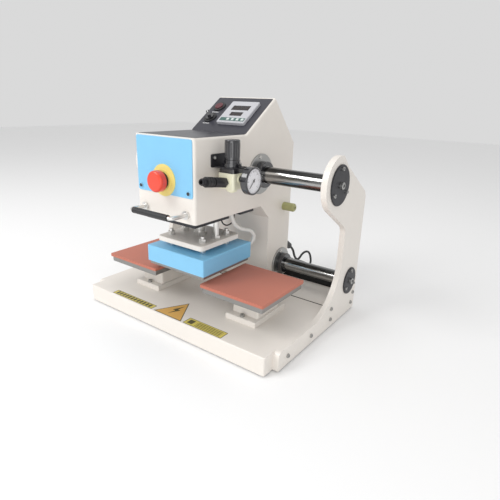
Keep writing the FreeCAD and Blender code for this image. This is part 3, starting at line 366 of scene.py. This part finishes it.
def pierced_plate(name, outlines, thick, to_world, material, body):
    """A flat sheet whose first outline is its edge and the others its holes."""
    curve = bpy.data.curves.new(name, "CURVE")
    curve.dimensions = "2D"
    curve.fill_mode = "BOTH"
    curve.extrude = thick * MM / 2
    for outline in outlines:
        spline = curve.splines.new("POLY")
        spline.points.add(len(outline) - 1)
        for point, (x, y) in zip(spline.points, outline):
            point.co = (x * MM, y * MM, 0, 1)
        spline.use_cyclic_u = True
    lifted = to_world @ Matrix.Translation((0, 0, thick * MM / 2))
    add_from_curve(name, curve, lifted, material, body)


def rectangle(x0, x1, y0, y1):
    return [(x0, y0), (x1, y0), (x1, y1), (x0, y1)]


def rounded_rectangle(x0, x1, y0, y1, r, steps=5):
    points = []
    centres = ((x1 - r, y0 + r), (x1 - r, y1 - r), (x0 + r, y1 - r), (x0 + r, y0 + r))
    for corner, (cx, cy) in enumerate(centres):
        for k in range(steps + 1):
            angle = math.radians(90 * (corner - 1 + k / steps))
            points.append((cx + r * math.cos(angle), cy + r * math.sin(angle)))
    return points


def circle(r, cx=0.0, cy=0.0, steps=48):
    turns = [2 * math.pi * k / steps for k in range(steps)]
    return [(cx + r * math.cos(angle), cy + r * math.sin(angle)) for angle in turns]


def on_panel(height=0.0):
    """From panel coordinates (X, distance up the slope, out) to the frame."""
    out = Vector((0, -math.sin(SLOPE), math.cos(SLOPE)))
    foot = bench(0, SLOPE_Y, HEAD_TOP, head=True)
    return Matrix.Translation(foot + out * height * MM) @ Matrix.Rotation(SLOPE, 4, "X")


def facing_front(place):
    """The sheet's X stays X, its Y becomes up and it stands towards the front."""
    return Matrix.Translation(place) @ Matrix.Rotation(math.pi / 2, 4, "X")


def facing_right(place):
    """The sheet's X runs to the rear, its Y up, and it faces the right side."""
    turn = Matrix(((0, 0, 1), (1, 0, 0), (0, 1, 0))).to_4x4()
    return Matrix.Translation(place) @ turn


def lying(place):
    return Matrix.Translation(place)


# ------------------------------------------------------------- control panel
FILM_T = 0.4
FILM_HALF_W = 73.0
FILM_CORNER = 2.0
TOP_FILM_Y = (20.5, 167.6)
SLOPE_FILM_S = (0.6, 118.0)  # S is the distance up the slope
SWITCH_X = -50.0
BUTTON_S = 83.0
SELECTOR_S = 44.0
SWITCH_HOLE_R = 13.6
SELECTOR_TOP = 14.0
SELECTOR_MARK = (-0.7, 0.7, 3.0, 10.5)
SELECTOR_MARK_T = 0.2
SELECTOR_TURN = math.radians(45)
CONTROLLER_X = 18.0
BEZEL_H = 7.0
BEZEL_RECESS = 1.5
DISPLAYS = ((66, 82, 46), (47, 60, 32))  # from S, to S, width
DISPLAY_CORNER = 0.8
DISPLAY_GLASS = 0.7
DIGITS = 4                   # in each row
DIGIT_HEIGHT = 0.62          # of its display's height
DIGIT_WIDTH = 0.5            # of its share of the width
SEGMENT_HALF_W = 0.065       # of the digit's height
SEGMENT_REACH = 0.40         # half a segment's length, of the stretch it spans
SEGMENT_T = 0.15
KEY_XS = (8, 20.5, 33, 45.5)
KEY_S = 35.0
KEY_CLEAR = 3.8              # half the free square around a key
KEY_FIELD_X = (-13, 51)
KEY_FIELD_HALF_H = 5.2
KEY_FIELD_T = 0.25
LEGEND_HALF_W = 9.0
LEGEND_BELOW = (19.3, 17.6)  # below a switch's middle, to the bar's edges
LEGEND_T = 0.15
PRINT_CORNER = 0.5


def control_films():
    edge = rounded_rectangle(-FILM_HALF_W, FILM_HALF_W, *TOP_FILM_Y, FILM_CORNER)
    plate("top_film", edge, FILM_T, lying(bench(0, 0, HEAD_TOP, head=True)), CHARCOAL, "carriage")
    edge = rounded_rectangle(-FILM_HALF_W, FILM_HALF_W, *SLOPE_FILM_S, FILM_CORNER)
    holes = [circle(SWITCH_HOLE_R, SWITCH_X, s) for s in (SELECTOR_S, BUTTON_S)]
    pierced_plate("slope_film", [edge, *holes], FILM_T, on_panel(), CHARCOAL, "carriage")


def digit(name, x, s, height, width, at):
    """Seven unlit display segments."""
    half_bar = SEGMENT_HALF_W * height
    half = height / 2
    parts = [(0, rung * half, True) for rung in (-1, 0, 1)]
    parts += [(side * width / 2, rung * half / 2, False) for side in (-1, 1) for rung in (-1, 1)]
    for k, (dx, ds, flat) in enumerate(parts):
        reach = SEGMENT_REACH * (width if flat else half)
        sx, sy = (reach, half_bar) if flat else (half_bar, reach)
        outline = rectangle(x + dx - sx, x + dx + sx, s + ds - sy, s + ds + sy)
        plate(name + "_" + str(k), outline, SEGMENT_T, on_panel(at), SEGMENT_OFF, "carriage")


def displays():
    floor = BEZEL_H - BEZEL_RECESS
    for row, (s0, s1, width) in enumerate(DISPLAYS):
        left = CONTROLLER_X - width / 2
        outline = rounded_rectangle(left, left + width, s0, s1, DISPLAY_CORNER)
        plate("display_" + str(row), outline, DISPLAY_GLASS, on_panel(floor), GLASS_DARK, "carriage")
        step = width / DIGITS
        for k in range(DIGITS):
            digit("digit_" + str(row) + str(k), left + step * (k + 0.5), (s0 + s1) / 2,
                  (s1 - s0) * DIGIT_HEIGHT, step * DIGIT_WIDTH, floor + DISPLAY_GLASS)


def key_field():
    """Dark field printed around the four keys, in strips that leave each key free."""
    left, right = KEY_FIELD_X
    low, high = KEY_S - KEY_CLEAR, KEY_S + KEY_CLEAR
    edges = [left] + [edge for x in KEY_XS for edge in (x - KEY_CLEAR, x + KEY_CLEAR)] + [right]
    fields = [(edges[k], edges[k + 1], low, high) for k in range(0, len(edges), 2)]
    fields.append((left, right, KEY_S - KEY_FIELD_HALF_H, low))
    fields.append((left, right, high, KEY_S + KEY_FIELD_HALF_H))
    for k, field in enumerate(fields):
        plate("key_field_" + str(k), rectangle(*field), KEY_FIELD_T, on_panel(BEZEL_H), TEAL, "carriage")


def switch_marks():
    """The selector's white pointer line, and a plain bar below either switch."""
    mark = rounded_rectangle(*SELECTOR_MARK, PRINT_CORNER)
    knob = Matrix.Translation((SWITCH_X * MM, SELECTOR_S * MM, 0))
    knob = knob @ Matrix.Rotation(SELECTOR_TURN, 4, "Z")
    plate("selector_mark", mark, SELECTOR_MARK_T, on_panel(SELECTOR_TOP) @ knob, WHITE_INK, "selector")
    for name, s in (("start_legend", BUTTON_S), ("selector_legend", SELECTOR_S)):
        bar = rounded_rectangle(SWITCH_X - LEGEND_HALF_W, SWITCH_X + LEGEND_HALF_W,
                                s - LEGEND_BELOW[0], s - LEGEND_BELOW[1], PRINT_CORNER)
        plate(name, bar, LEGEND_T, on_panel(FILM_T), WHITE_INK, "carriage")


control_films()
displays()
key_field()
switch_marks()


# ------------------------------------------------------------ pressure gauge
GAUGE_Y = 86.0
GAUGE_Z = 327.5
DIAL_X = 153.8
DIAL_R = 22.5
DIAL_T = 0.3
DIAL_SWEEP = 270
DIAL_START = 225
TICKS = 30
TICKS_PER_MAJOR = 5
TICK_OUTER = 18.6
MAJOR_TICK = (14.6, 0.45)    # inner end, half width
MINOR_TICK = (16.6, 0.22)
TICK_T = 0.12
WINDOW_X = 156.0
WINDOW_T = 0.4


def gauge_face():
    dial = bench(DIAL_X, GAUGE_Y, GAUGE_Z, head=True)
    plate("dial", circle(DIAL_R), DIAL_T, facing_right(dial), DIAL_WHITE, "carriage")
    face = bench(DIAL_X + DIAL_T, GAUGE_Y, GAUGE_Z, head=True)
    for k in range(TICKS + 1):
        angle = math.radians(DIAL_START - DIAL_SWEEP * k / TICKS)
        inner, half = MINOR_TICK if k % TICKS_PER_MAJOR else MAJOR_TICK
        along = Vector((math.cos(angle), math.sin(angle)))
        side = Vector((-along.y, along.x)) * half
        corners = [along * inner - side, along * TICK_OUTER - side,
                   along * TICK_OUTER + side, along * inner + side]
        plate("tick_" + str(k), corners, TICK_T, facing_right(face), INK, "carriage")
    window = bench(WINDOW_X, GAUGE_Y, GAUGE_Z, head=True)
    plate("gauge_window", circle(DIAL_R), WINDOW_T, facing_right(window), CLEAR, "carriage")


gauge_face()


# -------------------------------------------------------------------- labels
LABEL_RIM = 1.3
LABEL_CORNER = 1.5
BORDER_T = 0.12
FIELD_T = 0.18
MARK_T = 0.26
LONG_LABEL = (-175, -46, 4, 21)
BLOCKS = 12                  # where the long label has its wording
BLOCK = (-167, -160.5, 7, 18)
BLOCK_PITCH = 9.6
SMALL_LABEL = (46, 145, 4, 28)
LINES = 4                    # where the small label has its wording
LINE = (74, 138, 8, 9.8)
LINE_PITCH = 4.5
SMALL_SIGN = (53, 66, 9, 23)
TRIANGLE = ((-38, 4), (41, 4), (0, 73))
TRIANGLE_MIDDLE = Vector((1, 27))
TRIANGLE_INSET = 0.92
ZIGZAG = ((3, 56), (-8, 31), (-1, 31), (-5, 13), (8, 37), (1, 37))


def label(name, border, field, material, marks):
    """A printed label without wording: dark border, coloured field, dark marks."""
    top = lying(bench(0, 0, BASE_TOP))
    plate(name + "_border", border, BORDER_T, top, LABEL_INK, "root")
    plate(name, field, FIELD_T, top, material, "root")
    for k, mark in enumerate(marks):
        plate(name + "_mark_" + str(k), mark, MARK_T, top, LABEL_INK, "root")


def strip_label(name, x0, x1, y0, y1, marks):
    border = rounded_rectangle(x0, x1, y0, y1, LABEL_CORNER)
    field = rectangle(x0 + LABEL_RIM, x1 - LABEL_RIM, y0 + LABEL_RIM, y1 - LABEL_RIM)
    label(name, border, field, LABEL_YELLOW, marks)


def repeated(box, count, step_x, step_y):
    """The rectangle, and its copies at equal steps."""
    x0, x1, y0, y1 = box
    return [rectangle(x0 + step_x * k, x1 + step_x * k, y0 + step_y * k, y1 + step_y * k)
            for k in range(count)]


def base_labels():
    strip_label("long_label", *LONG_LABEL, repeated(BLOCK, BLOCKS, BLOCK_PITCH, 0))
    lines = repeated(LINE, LINES, 0, LINE_PITCH)
    strip_label("small_label", *SMALL_LABEL, lines + [rectangle(*SMALL_SIGN)])
    field = [TRIANGLE_MIDDLE + (Vector(corner) - TRIANGLE_MIDDLE) * TRIANGLE_INSET for corner in TRIANGLE]
    label("triangle_label", TRIANGLE, field, LABEL_ORANGE, [ZIGZAG])


base_labels()


# ------------------------------------------------------------- base and tray
STRIP_HALF_W = 246.0
STRIP_GAP = 0.5              # left free above and below the strip
STRIP_T = 0.8
UPSTAND_T = 2.0
SEAM_Y = (250.6, 253.4)
SEAM_T = 0.25


def upstand_painted_shade():
    """Black strip on the front of the upstand at the tray's rear edge: painted shade of the upstand's
    front face, which lies in shade under the lower rod.
    """
    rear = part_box("rear_tray")[1]
    low = TRAY_TOP + STRIP_GAP
    high = rear.z / MM - STRIP_GAP
    outline = rectangle(-STRIP_HALF_W, STRIP_HALF_W, 0, high - low)
    place = Vector((0, rear.y - UPSTAND_T * MM, low * MM))
    # Painted shade: a thin near-black sheet standing in for the shaded face of the upstand.
    plate("dark_strip", outline, STRIP_T, facing_front(place), SEAM_AND_SHADE_BLACK, "root")


def tray_seam():
    """Dark strip on the base sheet, just ahead of its joint with the rear tray."""
    seam = rectangle(-STRIP_HALF_W, STRIP_HALF_W, *SEAM_Y)
    plate("tray_seam", seam, SEAM_T, lying(bench(0, 0, BASE_TOP)), SEAM_AND_SHADE_BLACK, "root")


upstand_painted_shade()
tray_seam()


# --------------------------------------------------------- details of the head
PANEL_SCREW_X = 63
PANEL_SCREW_Z = 302
PANEL_SCREW_Y = HEAD_FRONT - 3.7
SOCKET_R = 3.3
SOCKET_T = 0.3
UPPER_ROD = (219, 316, 17.5, 27.5)  # Y, Z, the rod's radius, the bearing collar's
LOWER_ROD = (321, 85, 15.0, 24.0)
FLANGE_FACE = 4.3            # out from the head's side wall
SHADE_SLEEVE_FACE = 18.4
SHADE_SLEEVE_EASE = 1.0
SHADE_SLEEVE_CLEAR = 0.8            # between the rod and the shade sleeve
SHADE_SLEEVE_COVER = 0.5            # past the bearing's collar
SHADE_SLEEVE_STEPS = 64
SENSOR_LEAD_R = 1.5
SENSOR_LEAD_ROUTE = ((46, 124, 238), (46, 127, 222), (48, 142, 211),
                     (50, 158, 214), (50, 166, 226), (49, 168, 238))


def screw_sockets():
    """Black faces of the screws at the lower corners of the blue panel."""
    for x in (-PANEL_SCREW_X, PANEL_SCREW_X):
        place = bench(x, PANEL_SCREW_Y, PANEL_SCREW_Z, head=True)
        socket = circle(SOCKET_R, steps=24)
        plate("panel_socket_" + str(x), socket, SOCKET_T, facing_front(place), INK, "carriage")


def collar_shade_sleeve(name, y, z, r_in, r_out, side):
    """Black sleeve around a rod over its bearing's collar, painted shade of the shadowed collar: a
    thick-walled ring along X with an eased rim.
    """
    shape = bmesh.new()
    profile = ((FLANGE_FACE, r_in), (FLANGE_FACE, r_out), (SHADE_SLEEVE_FACE - SHADE_SLEEVE_EASE, r_out),
               (SHADE_SLEEVE_FACE, r_out - SHADE_SLEEVE_EASE), (SHADE_SLEEVE_FACE, r_in))
    loops = []
    for out, r in profile:
        ring = circle(r, y, z, SHADE_SLEEVE_STEPS)
        x = side * (HEAD_HALF_W + out)
        loops.append([shape.verts.new(bench(x, ring_y, ring_z, head=True)) for ring_y, ring_z in ring])
    for a, b in zip(loops, loops[1:] + loops[:1]):
        for k in range(SHADE_SLEEVE_STEPS):
            after = (k + 1) % SHADE_SLEEVE_STEPS
            shape.faces.new((a[k], a[after], b[after], b[k]))
    bmesh.ops.recalc_face_normals(shape, faces=shape.faces)
    add_shape(name, shape, SLOT_LOOKS["black_gloss"], "carriage")


def collar_shade_sleeves():
    # Painted shade: a black sleeve over each bearing collar, where the collars lie in shade.
    for row, (y, z, rod_r, collar_r) in enumerate((UPPER_ROD, LOWER_ROD)):
        for side in (-1, 1):
            collar_shade_sleeve("collar_shade_sleeve_" + str(row) + str(side), y, z, rod_r + SHADE_SLEEVE_CLEAR,
                  collar_r + SHADE_SLEEVE_COVER, side)


def sensor_lead():
    """Thin black lead that hangs in a loop under the head, beside the sleeved one."""
    places = [bench(*station, head=True) for station in SENSOR_LEAD_ROUTE]
    curve = round_curve("sensor_lead", places, SENSOR_LEAD_R, sides=3, smooth=12)
    add_from_curve("sensor_lead", curve, Matrix(), SLOT_LOOKS["cord_rubber"], "carriage")


screw_sockets()
collar_shade_sleeves()
sensor_lead()


# --------------------------------------------------------- floor and lights
FLOOR_HALF = 6.0             # metres, as are the lamps' places and sizes
SKY_STRENGTH = 0.7
LAMPS = (
    # name, place, what it shines at, size, watts
    ("key", (-1.0, -1.6, 1.8), (0, 0, 0.2), (1.1, 1.1), 24),
    ("fill", (0.9, -1.7, 0.45), (0, 0, 0.15), (1.2, 1.2), 9),
    ("top", (0, 0.2, 2.4), (0, 0, 0.2), (1.8, 1.2), 7),
)


def floor():
    mesh = bpy.data.meshes.new("floor")
    corners = [(x, y, 0) for x, y in rectangle(-FLOOR_HALF, FLOOR_HALF, -FLOOR_HALF, FLOOR_HALF)]
    mesh.from_pydata(corners, [], [(0, 1, 2, 3)])
    piece = bpy.data.objects.new("floor", mesh)
    bpy.context.scene.collection.objects.link(piece)
    white = bpy.data.materials.new("studio_floor")
    white.use_nodes = True
    shader = white.node_tree.nodes["Principled BSDF"]
    shader.inputs["Base Color"].default_value = (0.92, 0.92, 0.92, 1)
    shader.inputs["Roughness"].default_value = 0.9
    mesh.materials.append(white)


def lamp(name, place, aim, size, power):
    light = bpy.data.lights.new(name, "AREA")
    light.shape = "RECTANGLE"
    light.size, light.size_y = size
    light.energy = power
    piece = bpy.data.objects.new(name, light)
    piece.location = place
    piece.rotation_euler = (Vector(aim) - Vector(place)).to_track_quat("-Z", "Y").to_euler()
    bpy.context.scene.collection.objects.link(piece)


def sky():
    world = bpy.data.worlds.new("studio")
    bpy.context.scene.world = world
    world.use_nodes = True
    background = world.node_tree.nodes["Background"]
    background.inputs["Color"].default_value = (1, 1, 1, 1)
    background.inputs["Strength"].default_value = SKY_STRENGTH


floor()
sky()
for settings in LAMPS:
    lamp(*settings)
bpy.context.scene.view_settings.view_transform = "Standard"
